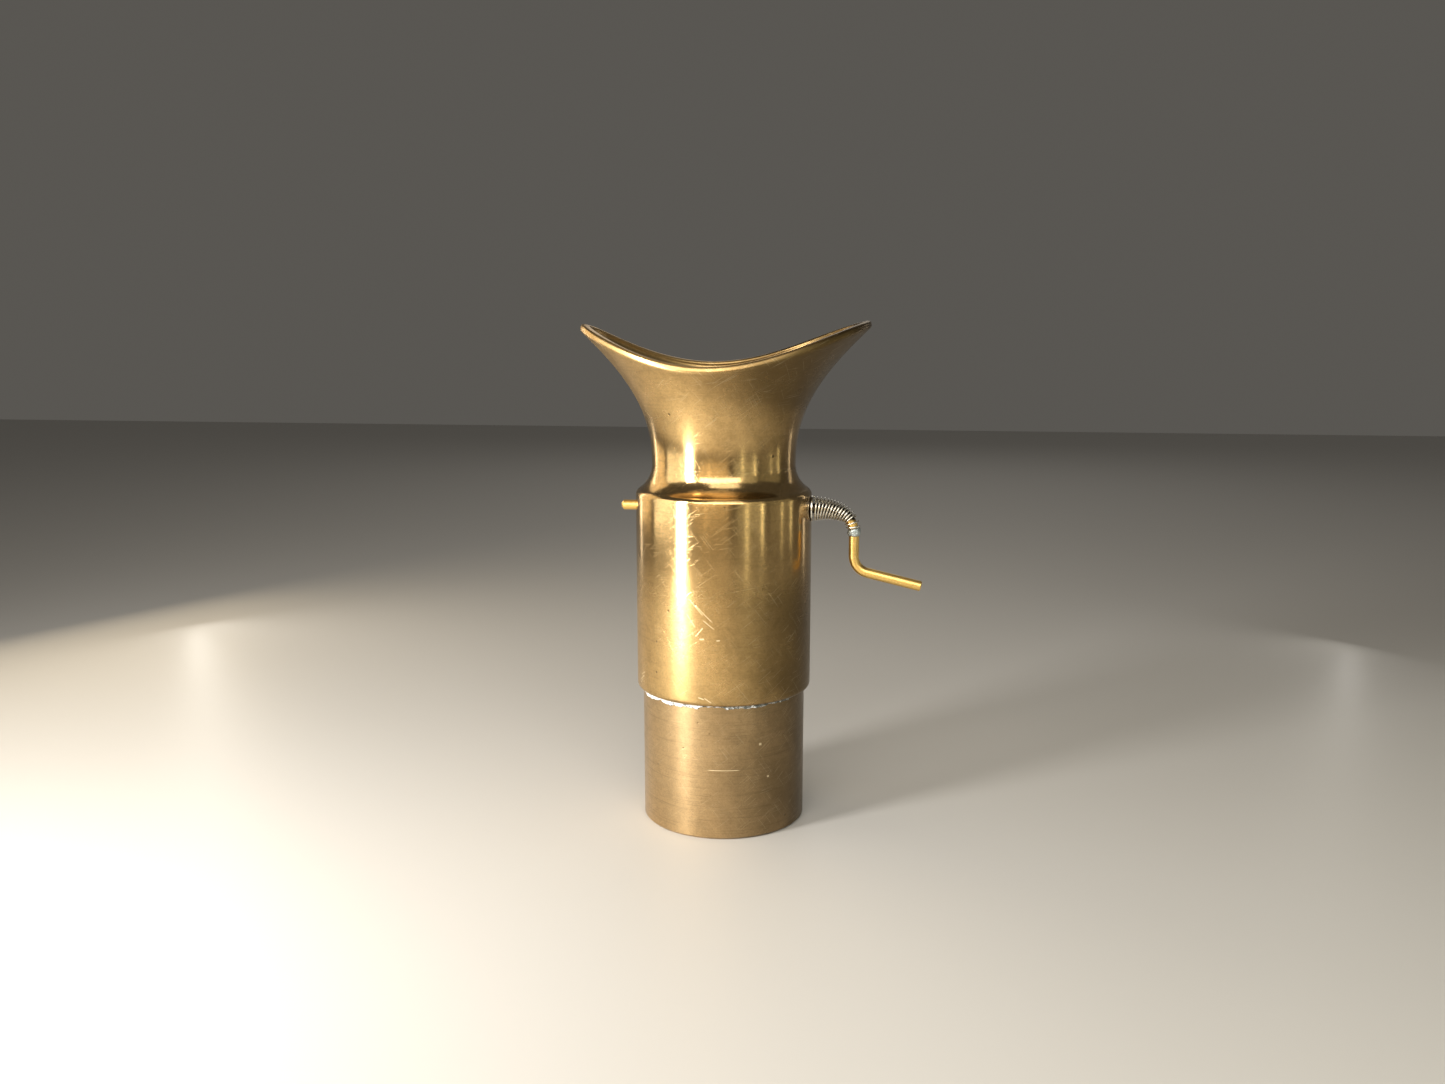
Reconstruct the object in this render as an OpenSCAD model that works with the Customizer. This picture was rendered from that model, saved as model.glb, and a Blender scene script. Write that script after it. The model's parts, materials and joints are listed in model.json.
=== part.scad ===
// Brass pepper mill with a saddle-shaped filling mouth and a side crank.
// Millimetres, +Z up. The origin is the centre of the face the mill stands on.
// +X runs along the axle towards the crank; the mouth's two wings rise nearly over +X and -X.

/* [Receptacle] */
// Outer radius of the lower tube
tube_r = 19.62; // [19.1:0.02:24]
// Wall of the lower tube
tube_wall = 1.2; // [0.8:0.1:2]
// Height of the lower tube, including the length hidden in the shell
tube_h = 52; // [44:1:62]
// Thickness of the disc that closes the tube
floor_t = 1.2; // [0.8:0.1:3]
// Bevel on the tube's bottom edge
tube_bevel = 0.5; // [0.2:0.1:0.8]

/* [Shell] */
// Height of the shell's lower edge above the table
shell_z = 32.6; // [24:0.2:40]
// Wall of the shell
shell_wall = 1.3; // [1:0.1:1.6]
// Running gap between the shell's sleeve and the lower tube
sleeve_gap = 0.08; // [0.02:0.01:0.1]
// Rounding of the shell's lower edge
lip_r = 1; // [0.4:0.1:1.2]
// Height of the narrowest ring of the neck
neck_z = 86.6; // [84:0.2:110]
// Outer radius of the narrowest ring of the neck
neck_r = 17.07; // [15.5:0.01:18]
// Rounding of the shoulder's outer corner
shoulder_r = 1.8; // [1.5:0.1:2.4]
// Hollow sweep from the shoulder into the neck
sweep_r = 7; // [6.5:0.1:9]
// Gap between the receptacle's top edge and the ring that rests on it
seat_gap = 0.05; // [0.02:0.01:0.2]
// Height of the ring that stops the receptacle
stop_h = 1.5; // [1:0.1:3]

/* [Mouth] */
// Square, cubic and quartic growth of the flare, for every 10 mm above the neck
flare = [0.886, 0.531, -0.088];
// Height of the mouth's lowest outer edge above the neck ring
mouth_low = 22.15; // [16:0.05:26]
// Rise of the saddle's edge at the reference reach, square, cubic and quartic parts
saddle_rise = [12.26, -1.27, -2.23];
// Reach from the saddle's lowest point at which the rise is stated
saddle_reach = 34; // [30:1:40]
// How far the saddle's lowest point lies off the axis, away from the crank
saddle_shift = 3.37; // [0:0.01:5]
// Turn of the mouth's wings from the line of the axle
mouth_turn = 6.7; // [-15:0.1:15]
// Height of the rounded rim along its outer face
rim_h = 1.5; // [1.2:0.1:3]
// Thickness of the rounded rim
rim_t = 1.6; // [1.3:0.1:2.4]
// Lean of the rim's outer face back from upright
rim_lean = 12; // [0:1:30]
// Share by which the rim grows thicker at the wings' tips
tip_swell = 0.4; // [0:0.1:0.6]
// How far the shell's cut edge stays below the rim's lower outer edge
rim_seat = 0.1; // [0:0.05:0.2]

/* [Crank] */
// Diameter of the brass rod
rod_d = 2.4; // [2:0.1:2.6]
// Depth of the axle below the centre of the shoulder's rounding
axle_drop = 3.07; // [2.8:0.01:8]
// How far the axle's plain end stands out of the left wall
stub = 3.9; // [2.5:0.1:8]
// Distance from the shell to the crank's arm
arm_out = 10.2; // [9.6:0.1:14]
// Length of the arm, from the axle to the line of the handle
arm_len = 14.45; // [11:0.05:20]
// Inside-to-centre radius of the bend from the axle to the arm
bend_r = 5.8; // [5.6:0.1:6.2]
// Radius of the bend from the arm to the handle
handle_bend_r = 4.1; // [3:0.1:5]
// Slope of the handle below level
handle_slope = 12.8; // [0:0.1:20]
// Reach of the handle past the arm
handle_reach = 16; // [12:0.5:24]
// How far the crank can be pushed in against its spring
push = 2.2; // [1:0.1:2.4]
// Radial gap between the axle and its bushes
axle_gap = 0.05; // [0.02:0.01:0.1]

/* [Spring] */
// Diameter of the spring wire
wire_d = 0.44; // [0.3:0.02:0.5]
// Centre radius of the widest turn
spring_r = 2.78; // [2.6:0.02:3.2]
// Turns on the cone
spring_turns = 13; // [9:1:15]
// Length of the cone along its curved centre line
spring_len = 9.15; // [8.8:0.05:9.4]
// Angle by which the cone droops at its small end
spring_droop = 45; // [30:1:50]
// Gap between the small turns and the rod
grip_gap = 0.07; // [0.05:0.01:0.12]
// Thickness of the washer between the spring and the wall
washer_t = 0.3; // [0.2:0.05:0.5]
// Radius of that washer
washer_r = 3.1; // [2.8:0.1:3.6]

/* [Grinder] */
// Radius of the two axle bushes
bush_r = 2.4; // [2:0.1:2.8]
// Distance from the axis to the inner ends of the bushes
bush_in = 15.2; // [14.5:0.1:16]
// Thickness of the hopper dish
dish_t = 0.8; // [0.6:0.1:1.2]
// Radius of the dish's flat bottom
dish_flat_r = 7; // [6:0.5:8]
// Depth of the dish from its rim to its flat bottom
dish_deep = 7; // [6.5:0.1:7.4]
// Inner radius of the housing that holds the ring burr
housing_r = 7.4; // [7:0.1:7.8]
// Wall of that housing
housing_wall = 0.8; // [0.6:0.1:1]
// Feed end of the housing along the axle
housing_feed_x = -1.5; // [-1.6:0.1:-1.3]
// Room between the housing and the pushed-in collar
collar_room = 0.7; // [0.4:0.1:1]
// Ends of the ring burr along the axle
ring_x = [-1.2, 4.8];
// Ends of the cone burr along the axle
cone_x = [-1.5, 5.2];
// Radius of the cone burr at its feed end
cone_r = 5.3; // [5:0.1:5.6]
// Grinding gap at the fine end
grind_gap = 0.34; // [0.3:0.02:0.5]
// Bare axle between the left bush and the pushed-in worm
worm_room = 4; // [3:0.5:6]
// Delivery end of the feed worm along the axle
worm_end_x = -1.7; // [-2:0.1:-1.7]
// Radius of the feed worm
worm_r = 5.6; // [5:0.1:5.8]
// Radius of the worm's core
worm_core_r = 2.6; // [2.2:0.1:3]
// Length of the adjusting collar
collar_len = 2.7; // [2.2:0.1:3]
// Radius of the adjusting collar
collar_r = 2.8; // [2.4:0.1:3]
// End play between the collar and its bush
collar_gap = 0.1; // [0.05:0.05:0.3]
// Radius of the cross pins
pin_r = 0.5; // [0.4:0.05:0.6]
// Radius of the small screws
screw_r = 0.8; // [0.6:0.1:1]

/* [Hidden] */
$fn = 96;
eps = 0.01;

brass = "#b08d3e";
dull_brass = "#94793c";
steel = "#8f9296";
dark_steel = "#5c5f63";

// The sleeve slides on the tube, so its radii follow the tube's.
sleeve_in = tube_r + sleeve_gap;
shell_r = sleeve_in + shell_wall;
// The hollow sweep meets the neck ring level with its centre.
sweep_c = [neck_r + sweep_r, neck_z];
// The shoulder's rounding touches the sleeve's side and the hollow sweep.
corner_x = shell_r - shoulder_r;
corner_c = [
    corner_x,
    neck_z - sqrt(pow(sweep_r + shoulder_r, 2) - pow(sweep_c[0] - corner_x, 2))
];
sweep_a = atan2(corner_c[1] - sweep_c[1], corner_c[0] - sweep_c[0]) + 360;
axle_z = corner_c[1] - axle_drop;
collar_x = [bush_in - collar_gap - collar_len, bush_in - collar_gap];
housing_x = [housing_feed_x, collar_x[0] - push - collar_room];
worm_x = [push + worm_room - bush_in, worm_end_x];
rod_r = rod_d / 2;
bush_bore = rod_r + axle_gap;

function flare_r(z) =
    let (u = max(0, (z - neck_z) / 10))
    neck_r + flare[0] * pow(u, 2) + flare[1] * pow(u, 3) + flare[2] * pow(u, 4);

function saddle_z(x) =
    let (u = (x + saddle_shift) / saddle_reach)
    neck_z + mouth_low + saddle_rise[0] * pow(u, 2) + saddle_rise[1] * pow(u, 3)
    + saddle_rise[2] * pow(u, 4);

// A wing's tip is where the flare and the saddle's edge meet over the axle.
function tip_x(x, n = 40) = n == 0 ? x : tip_x(sign(x) * flare_r(saddle_z(x)), n - 1);
wing_x = [tip_x(-saddle_reach), tip_x(saddle_reach)];
wing_z = max(saddle_z(wing_x[0]), saddle_z(wing_x[1]));

function arc(c, r, a0, a1, n) =
    [for (i = [0:n]) let (a = a0 + (a1 - a0) * i / n) c + r * [cos(a), sin(a)]];

// Radius and height of the shell's skin from the shoulder to the flare's top, cut in by an inset.
function skin(inset, top) = concat(
    arc(corner_c, shoulder_r - inset, 0, sweep_a - 180, 10),
    arc(sweep_c, sweep_r + inset, sweep_a, 180, 18),
    [for (i = [1:36]) let (z = neck_z + (top - neck_z) * i / 36) [flare_r(z) - inset, z]]
);

function reverse(p) = [for (i = [len(p) - 1:-1:0]) p[i]];

// A closed tube through rings of points that share one count.
module tube_through(rings, closed) {
    n = len(rings);
    m = len(rings[0]);
    sides = [for (i = [0:n - (closed ? 1 : 2)], j = [0:m - 1])
        let (k = (i + 1) % n, l = (j + 1) % m)
        [i * m + j, i * m + l, k * m + l, k * m + j]];
    ends = closed ? [] : [
        [for (j = [m - 1:-1:0]) j],
        [for (j = [0:m - 1]) (n - 1) * m + j]
    ];
    polyhedron([for (ring = rings) each ring], concat(sides, ends), convexity = 10);
}

module along_x(x) { translate([x[0], 0, axle_z]) rotate([0, 90, 0]) children(); }
function span(x) = x[1] - x[0];

// ---- Receptacle ----

module receptacle_tube() {
    color(dull_brass)
    rotate_extrude($fn = 180) polygon([
        [tube_r - tube_wall, 0], [tube_r - tube_bevel, 0], [tube_r, tube_bevel],
        [tube_r, tube_h], [tube_r - tube_wall, tube_h]
    ]);
}

module receptacle_floor() {
    color(dull_brass) cylinder(r = tube_r - tube_wall, h = floor_t, $fn = 180);
}

// ---- Shell ----

module saddle_cut() {
    reach = wing_x[1] + 12;
    steps = 40;
    top = wing_z + 30;
    edge = [for (i = [0:steps]) let (x = -reach + 2 * reach * i / steps) [x, saddle_z(x) - rim_seat]];
    rotate([0, 0, mouth_turn])
    rotate([90, 0, 0])
    linear_extrude(height = 2 * reach, center = true)
    polygon(concat(edge, [[reach, top], [-reach, top]]));
}

module bush_holes() {
    along_x([-shell_r - 2, 0]) cylinder(r = bush_r, h = 2 * shell_r + 4);
}

module shell() {
    top = wing_z;
    lip = arc([shell_r - lip_r, shell_z + lip_r], lip_r, -90, 0, 6);
    outside = concat(lip, skin(0, top));
    inside = concat([[sleeve_in, shell_z]], skin(shell_wall, top));
    color(brass)
    difference() {
        rotate_extrude($fn = 180) polygon(concat(outside, reverse(inside)));
        saddle_cut();
        bush_holes();
    }
}

function rim_depth(a) = rim_t * (1 + tip_swell * pow(cos(a), 4));

// Middle of the rim's section at the turn a, going round the mouth from the crank's side.
function rim_point(a) =
    let (
        x = (wing_x[0] + wing_x[1]) / 2 + (wing_x[1] - wing_x[0]) / 2 * cos(a),
        z = saddle_z(x),
        r = flare_r(z),
        y = (a < 180 ? 1 : -1) * sqrt(max(0, r * r - x * x)),
        back = rim_h / 2 * sin(rim_lean) + rim_depth(a) / 2 * cos(rim_lean),
        up = rim_h / 2 * cos(rim_lean) - rim_depth(a) / 2 * sin(rim_lean)
    )
    [x * (1 - back / r), y * (1 - back / r), z + up];

function unit(v) = v / norm(v);
function round_to(v, p) = sign(v) * pow(abs(v), p);

function rim_ring(a, m, step) =
    let (
        c = rim_point(a),
        t = unit(rim_point((a + step) % 360) - rim_point((a - step + 360) % 360)),
        e = unit([c[0], c[1], 0]),
        lean = cos(rim_lean) * e + [0, 0, sin(rim_lean)],
        n = unit(lean - (lean * t) * t),
        u = cross(n, t)
    )
    [for (j = [0:m - 1]) let (b = 360 * j / m)
        c + n * rim_depth(a) / 2 * round_to(cos(b), 0.7) + u * rim_h / 2 * round_to(sin(b), 0.7)];

module mouth_rim() {
    turns = 120;
    color(brass)
    rotate([0, 0, mouth_turn])
    tube_through([for (i = [0:turns - 1]) rim_ring(360 * (i + 0.5) / turns, 12, 1)], true);
}

module stop_ring() {
    color(dull_brass)
    translate([0, 0, tube_h + seat_gap])
    difference() {
        cylinder(r = sleeve_in, h = stop_h, $fn = 180);
        translate([0, 0, -eps]) cylinder(r = tube_r - tube_wall, h = stop_h + 2 * eps, $fn = 180);
    }
}

// ---- Grinder, fixed in the shell ----

dish_floor = axle_z - housing_r - housing_wall;
dish_rim = dish_floor + dish_deep;
outlet_x = [ring_x[1] + 0.2, housing_x[1] - 0.8];
outlet_w = 8;

module outlet() {
    translate([outlet_x[0], -outlet_w / 2, dish_floor - 5]) cube([span(outlet_x), outlet_w, 8]);
}

module hopper_dish() {
    color(dull_brass)
    difference() {
        rotate_extrude($fn = 180) polygon([
            [0, dish_floor - dish_t], [dish_flat_r, dish_floor - dish_t],
            [sleeve_in, dish_rim - dish_t], [sleeve_in, dish_rim],
            [dish_flat_r, dish_floor], [0, dish_floor]
        ]);
        along_x([housing_x[0], 0]) cylinder(r = housing_r + housing_wall, h = span(housing_x) + 1);
        bush_holes();
        outlet();
        housing_screw_places() cylinder(r = screw_r, h = 4, center = true);
    }
}

module burr_housing() {
    foot = [span(ring_x), 6, 1.4];
    color(dull_brass)
    difference() {
        union() {
            along_x(housing_x) cylinder(r = housing_r + housing_wall, h = span(housing_x));
            translate([ring_x[0], -foot[1] / 2, dish_floor]) cube(foot);
        }
        along_x([housing_x[0] - 1, 0]) cylinder(r = housing_r, h = span(housing_x) + 2);
        outlet();
        housing_screw_places() cylinder(r = screw_r, h = 4, center = true);
        ring_screw_place() cylinder(r = screw_r, h = 6, center = true);
    }
}

// The bore narrows from a wide feed end to the grinding gap round the cone burr's fine end.
cone_fine_r = cone_r - 1;
ring_fine_r = cone_fine_r + grind_gap + 0.06;
ring_feed_r = housing_r - 0.5;

module ring_burr() {
    teeth = 12;
    color(dark_steel)
    difference() {
        along_x(ring_x) cylinder(r = housing_r, h = span(ring_x));
        along_x([ring_x[0] - eps, 0])
            cylinder(r1 = ring_feed_r, r2 = ring_fine_r, h = span(ring_x) + 2 * eps);
        for (i = [0:teeth - 1])
            along_x([ring_x[0] - eps, 0])
            rotate([0, 0, 360 * (i + 0.5) / teeth])
            translate([ring_fine_r + 0.25, 0, 0])
            cylinder(r = 0.45, h = span(ring_x) + 2 * eps, $fn = 24);
        ring_screw_place() cylinder(r = screw_r, h = 2, center = true);
    }
}

module outlet_cap() {
    color(dull_brass)
    difference() {
        along_x([outlet_x[1], 0]) cylinder(r = housing_r, h = housing_x[1] - outlet_x[1]);
        along_x([outlet_x[1] - 1, 0]) cylinder(r = rod_r + 0.4, h = 4);
    }
}

module housing_screw_places() {
    for (x = [0.25, 0.75])
        translate([ring_x[0] + span(ring_x) * x, 0, dish_floor]) children();
}

module slotted_head(r, h) {
    difference() {
        cylinder(r = r, h = h, $fn = 48);
        translate([-r - 1, -0.2, -eps]) cube([2 * r + 2, 0.4, h / 2]);
    }
}

module housing_screws() {
    color(steel)
    housing_screw_places() {
        translate([0, 0, -dish_t]) cylinder(r = screw_r, h = dish_t + housing_wall - 0.05, $fn = 48);
        translate([0, 0, -dish_t - 1]) slotted_head(1.35, 1);
    }
}

module ring_screw_place() {
    translate([ring_x[0] + span(ring_x) / 2, 0, axle_z + housing_r]) children();
}

module ring_screw() {
    color(steel)
    ring_screw_place() rotate([180, 0, 0]) translate([0, 0, -1.6]) slotted_head(screw_r, 2.6);
}

// A bush's outer end follows the round of the shell.
module bush(side) {
    intersection() {
        difference() {
            along_x([side > 0 ? bush_in : -shell_r - 1, 0])
                cylinder(r = bush_r, h = shell_r + 1 - bush_in);
            along_x([-shell_r - 2, 0]) cylinder(r = bush_bore, h = 2 * shell_r + 4);
        }
        cylinder(r = shell_r, h = axle_z + 10, $fn = 180);
    }
}

module left_bush() { color(brass) bush(-1); }
module right_bush() { color(brass) bush(1); }

// ---- Spring ----

module spring_washer() {
    color(steel)
    difference() {
        along_x([shell_r + collar_gap, 0]) cylinder(r = washer_r, h = washer_t);
        along_x([shell_r - 1, 0]) cylinder(r = rod_r + grip_gap, h = 3);
    }
}

arm_x = shell_r + arm_out;
spring_x = shell_r + collar_gap + washer_t + wire_d / 2 + 0.02;
small_r = rod_r + grip_gap + wire_d / 2;
bend_c = [arm_x - bend_r, axle_z - bend_r];

// The centre line bends down slowly at first, then follows the rod: x, z and slope at share t.
function droop_at(t) = spring_droop * t * t;
function droop_step(i, n) = let (a = droop_at((i + 0.5) / n)) [cos(a), -sin(a)] * spring_len / n;
function droop_sums(n) = [
    for (i = 0, p = [spring_x, axle_z]; i <= n; p = p + droop_step(i, n), i = i + 1) p
];

coil_steps = 14;
cone_steps = spring_turns * coil_steps;
cone_line = droop_sums(cone_steps);
cone_rings = [for (i = [0:cone_steps])
    let (t = i / cone_steps)
    [cone_line[i][0], cone_line[i][1], droop_at(t), small_r + (spring_r - small_r) * (1 - pow(t, 1.4))]];

// The last two turns sit on the rod's bend.
tail_turns = 2;
tail_steps = tail_turns * coil_steps;
tail_from = [56, small_r + 0.03];
tail_rings = [for (i = [1:tail_steps])
    let (t = i / tail_steps, a = tail_from[0] + 20 * t)
    [bend_c[0] + bend_r * sin(a), bend_c[1] + bend_r * cos(a), a, tail_from[1]]];

function coil_point(ring, turn) =
    let (side = ring[3] * [sin(ring[2]), cos(ring[2])] * cos(turn))
    [ring[0] + side[0], ring[3] * sin(turn), ring[1] + side[1]];

module crank_spring() {
    rings = concat(cone_rings, tail_rings);
    last = len(rings) - 1;
    points = [for (i = [0:last]) coil_point(rings[i], 360 * i / coil_steps)];
    color(steel)
    tube_through([for (i = [0:last])
        let (
            t = unit(points[min(last, i + 1)] - points[max(0, i - 1)]),
            c = [rings[i][0], 0, rings[i][1]],
            out = points[i] - c,
            n = unit(out - (out * t) * t),
            b = cross(n, t)
        )
        [for (j = [0:5]) points[i] + wire_d / 2 * (n * cos(60 * j) + b * sin(60 * j))]], false);
}

// ---- Crank and what turns with it ----

pin_places = [(worm_x[0] + worm_x[1]) / 2, cone_x[0] + 1.4];

module cross_pin_holes() {
    for (x = pin_places)
        translate([x, 0, axle_z]) cylinder(r = pin_r, h = 20, center = true, $fn = 48);
}

// A quarter of a ring in the XZ plane, from angle a0 through da, round the point c.
module rod_bend(c, r, a0, da) {
    translate([c[0], 0, c[1]]) rotate([90, 0, 0]) rotate([0, 0, a0])
        rotate_extrude(angle = da) translate([r, 0]) circle(r = rod_r, $fn = 48);
}

// A straight run of rod along +Z with a bevelled far end, a hair thicker than the bends it laps.
module rod_run(length, bevel, r) {
    rotate_extrude($fn = 48)
        polygon([[0, 0], [r, 0], [r, length - bevel], [r - bevel, length], [0, length]]);
}

module crank_rod() {
    swell = 0.02;
    lap = 0.03;
    corner_z = axle_z - arm_len;
    turn = 90 - handle_slope;
    cut = handle_bend_r * tan(turn / 2);
    handle_len = handle_reach / cos(handle_slope) - cut;
    color(brass)
    difference() {
        union() {
            translate([bend_c[0], 0, axle_z]) rotate([0, -90, 0])
                rod_run(bend_c[0] + shell_r + stub, 0.5, rod_r);
            rod_bend(bend_c, bend_r, 0, 90);
            translate([arm_x, 0, corner_z + cut - lap])
                cylinder(r = rod_r + swell, h = bend_c[1] - corner_z - cut + 2 * lap, $fn = 48);
            rod_bend([arm_x + handle_bend_r, corner_z + cut], handle_bend_r, 180, turn);
            translate([arm_x, 0, corner_z]) rotate([0, 90 + handle_slope, 0])
                translate([0, 0, cut - lap]) rod_run(handle_len + lap, 0.25, rod_r + swell);
        }
        cross_pin_holes();
        collar_screw_place() cylinder(r = screw_r, h = 0.4, center = true, $fn = 48);
    }
}

module feed_worm() {
    color(dark_steel)
    difference() {
        along_x(worm_x) {
            linear_extrude(height = span(worm_x), twist = -300, slices = 40, $fn = 48)
                square([2 * worm_r, 1.4], center = true);
            cylinder(r = worm_core_r, h = span(worm_x));
        }
        along_x([worm_x[0] - 1, 0]) cylinder(r = rod_r, h = span(worm_x) + 2, $fn = 48);
        cross_pin_holes();
    }
}

module cone_burr() {
    teeth = 10;
    color(dark_steel)
    difference() {
        along_x(cone_x) cylinder(r1 = cone_r, r2 = cone_fine_r, h = span(cone_x));
        for (i = [0:teeth - 1])
            along_x([cone_x[0] - eps, 0])
            rotate([0, 0, 360 * i / teeth])
            translate([cone_r + 0.1, 0, 0])
            rotate([14, -8, 0])
            translate([0, 0, -2])
            cylinder(r = 0.55, h = span(cone_x) + 4, $fn = 24);
        along_x([cone_x[0] - 1, 0]) cylinder(r = rod_r, h = span(cone_x) + 2, $fn = 48);
        cross_pin_holes();
    }
}

module cross_pins() {
    half = [worm_core_r - 0.1, cone_r - 0.9];
    color(steel)
    for (i = [0:1])
        translate([pin_places[i], 0, axle_z])
        cylinder(r = pin_r, h = 2 * half[i], center = true, $fn = 48);
}

module collar_screw_place() {
    translate([collar_x[0] + collar_len / 2, 0, axle_z + rod_r]) children();
}

module stop_collar() {
    color(dull_brass)
    difference() {
        along_x(collar_x) cylinder(r = collar_r, h = collar_len);
        along_x([collar_x[0] - 1, 0]) cylinder(r = rod_r, h = collar_len + 2, $fn = 48);
        collar_screw_place() cylinder(r = screw_r, h = 8, center = true, $fn = 48);
    }
}

module collar_screw() {
    h = collar_r - rod_r + 0.1;
    color(steel)
    collar_screw_place() rotate([180, 0, 0]) translate([0, 0, -h]) slotted_head(screw_r, h + 0.2);
}

receptacle_tube();
receptacle_floor();
shell();
mouth_rim();
stop_ring();
hopper_dish();
burr_housing();
ring_burr();
outlet_cap();
housing_screws();
ring_screw();
left_bush();
right_bush();
spring_washer();
crank_spring();
crank_rod();
feed_worm();
cone_burr();
cross_pins();
stop_collar();
collar_screw();
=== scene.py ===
# %% [markdown]
# # A brass pepper mill
#
# This lesson dresses a small brass pepper mill. The metal parts come from a finished engineering
# model, so every size and place is settled before we start. What is left is what the eye enjoys:
# polish, patina, turning marks, scratches, and light that shows them.
#
# Loading the model first means that all later pieces can be placed by asking it where things are.

# %% Load the engineering model
import json
import math

import bpy
import numpy as np
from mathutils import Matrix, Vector

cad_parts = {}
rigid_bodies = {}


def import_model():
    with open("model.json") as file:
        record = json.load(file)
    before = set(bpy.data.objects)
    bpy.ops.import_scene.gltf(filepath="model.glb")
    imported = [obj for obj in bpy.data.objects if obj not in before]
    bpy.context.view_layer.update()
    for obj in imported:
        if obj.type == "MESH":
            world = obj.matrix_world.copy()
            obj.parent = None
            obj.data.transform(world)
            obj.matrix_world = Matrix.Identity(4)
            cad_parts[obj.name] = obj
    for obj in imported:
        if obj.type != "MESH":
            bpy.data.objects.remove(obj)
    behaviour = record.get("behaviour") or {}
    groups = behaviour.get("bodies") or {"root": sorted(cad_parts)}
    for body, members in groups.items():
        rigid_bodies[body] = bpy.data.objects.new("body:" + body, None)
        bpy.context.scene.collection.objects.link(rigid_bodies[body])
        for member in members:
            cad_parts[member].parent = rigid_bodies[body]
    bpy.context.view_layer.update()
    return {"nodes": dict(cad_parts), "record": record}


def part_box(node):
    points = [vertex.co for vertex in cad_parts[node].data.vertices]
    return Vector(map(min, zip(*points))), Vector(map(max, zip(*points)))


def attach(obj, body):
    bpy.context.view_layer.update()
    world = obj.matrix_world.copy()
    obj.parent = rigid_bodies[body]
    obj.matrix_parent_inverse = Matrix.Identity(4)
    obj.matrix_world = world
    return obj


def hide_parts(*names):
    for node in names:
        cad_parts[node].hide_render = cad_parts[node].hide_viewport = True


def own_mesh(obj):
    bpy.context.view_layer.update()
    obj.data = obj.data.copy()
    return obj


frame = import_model()
nodes = frame["nodes"]

# %% [markdown]
# ## Sizes that everything else uses
#
# Blender works in metres. The model's own parts give the sizes, so the finish and the light
# follow the object if it ever changes. Small lengths read better in millimetres, so one
# constant turns them into metres.

# %% Measure the parts
MM = 0.001


def low(node):
    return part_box(node)[0]


def high(node):
    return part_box(node)[1]


tube_radius = high("receptacle_tube").x
axle_z = (low("spring_washer").z + high("spring_washer").z) / 2
rod_radius = (high("crank_rod").y - low("crank_rod").y) / 2
wall_x = low("spring_washer").x
mill_height = high("mouth_rim").z
print(f"height {mill_height / MM:.1f} mm, axle at {axle_z / MM:.1f} mm,",
      f"rod {2 * rod_radius / MM:.2f} mm")

# %% [markdown]
# ## Shader maths that reads like maths
#
# A material is a network of nodes. Placing each Math node by hand hides the idea behind the
# wiring, so a small class wraps a socket. Adding or multiplying two wrapped values adds the
# Math node for us. Colours and directions need other nodes, because a Math node would turn
# them into one grey number.

# %% A socket that can be added and multiplied


class Wire:
    """One output socket of a material's node tree, to be used like a number."""

    def __init__(self, tree, socket):
        self.tree = tree
        self.socket = socket

    def math(self, operation, *others):
        node = self.tree.nodes.new("ShaderNodeMath")
        node.operation = operation
        for place, value in enumerate((self,) + others):
            plug(self.tree, node.inputs[place], value)
        return Wire(self.tree, node.outputs[0])

    def __add__(self, other): return self.math("ADD", other)
    def __radd__(self, other): return self.math("ADD", other)
    def __mul__(self, other): return self.math("MULTIPLY", other)
    def __rmul__(self, other): return self.math("MULTIPLY", other)
    def __sub__(self, other): return self.math("SUBTRACT", other)
    def __rsub__(self, other): return (self * -1).math("ADD", other)

    def clamp(self):
        """The value held between 0 and 1."""
        held = self.math("ADD", 0.0)
        held.socket.node.use_clamp = True
        return held

    def most(self, other): return self.math("MAXIMUM", other)


def plug(tree, socket, value):
    """Links a wire to a socket, or sets a plain value on it."""
    if isinstance(value, Wire):
        tree.links.new(value.socket, socket)
    elif value is not None:
        socket.default_value = value


# The Mix node keeps a set of sockets for each kind of value. These are the colour ones.
MIX_SHARE, MIX_FIRST, MIX_SECOND, MIX_COLOUR = 0, 6, 7, 2


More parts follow.
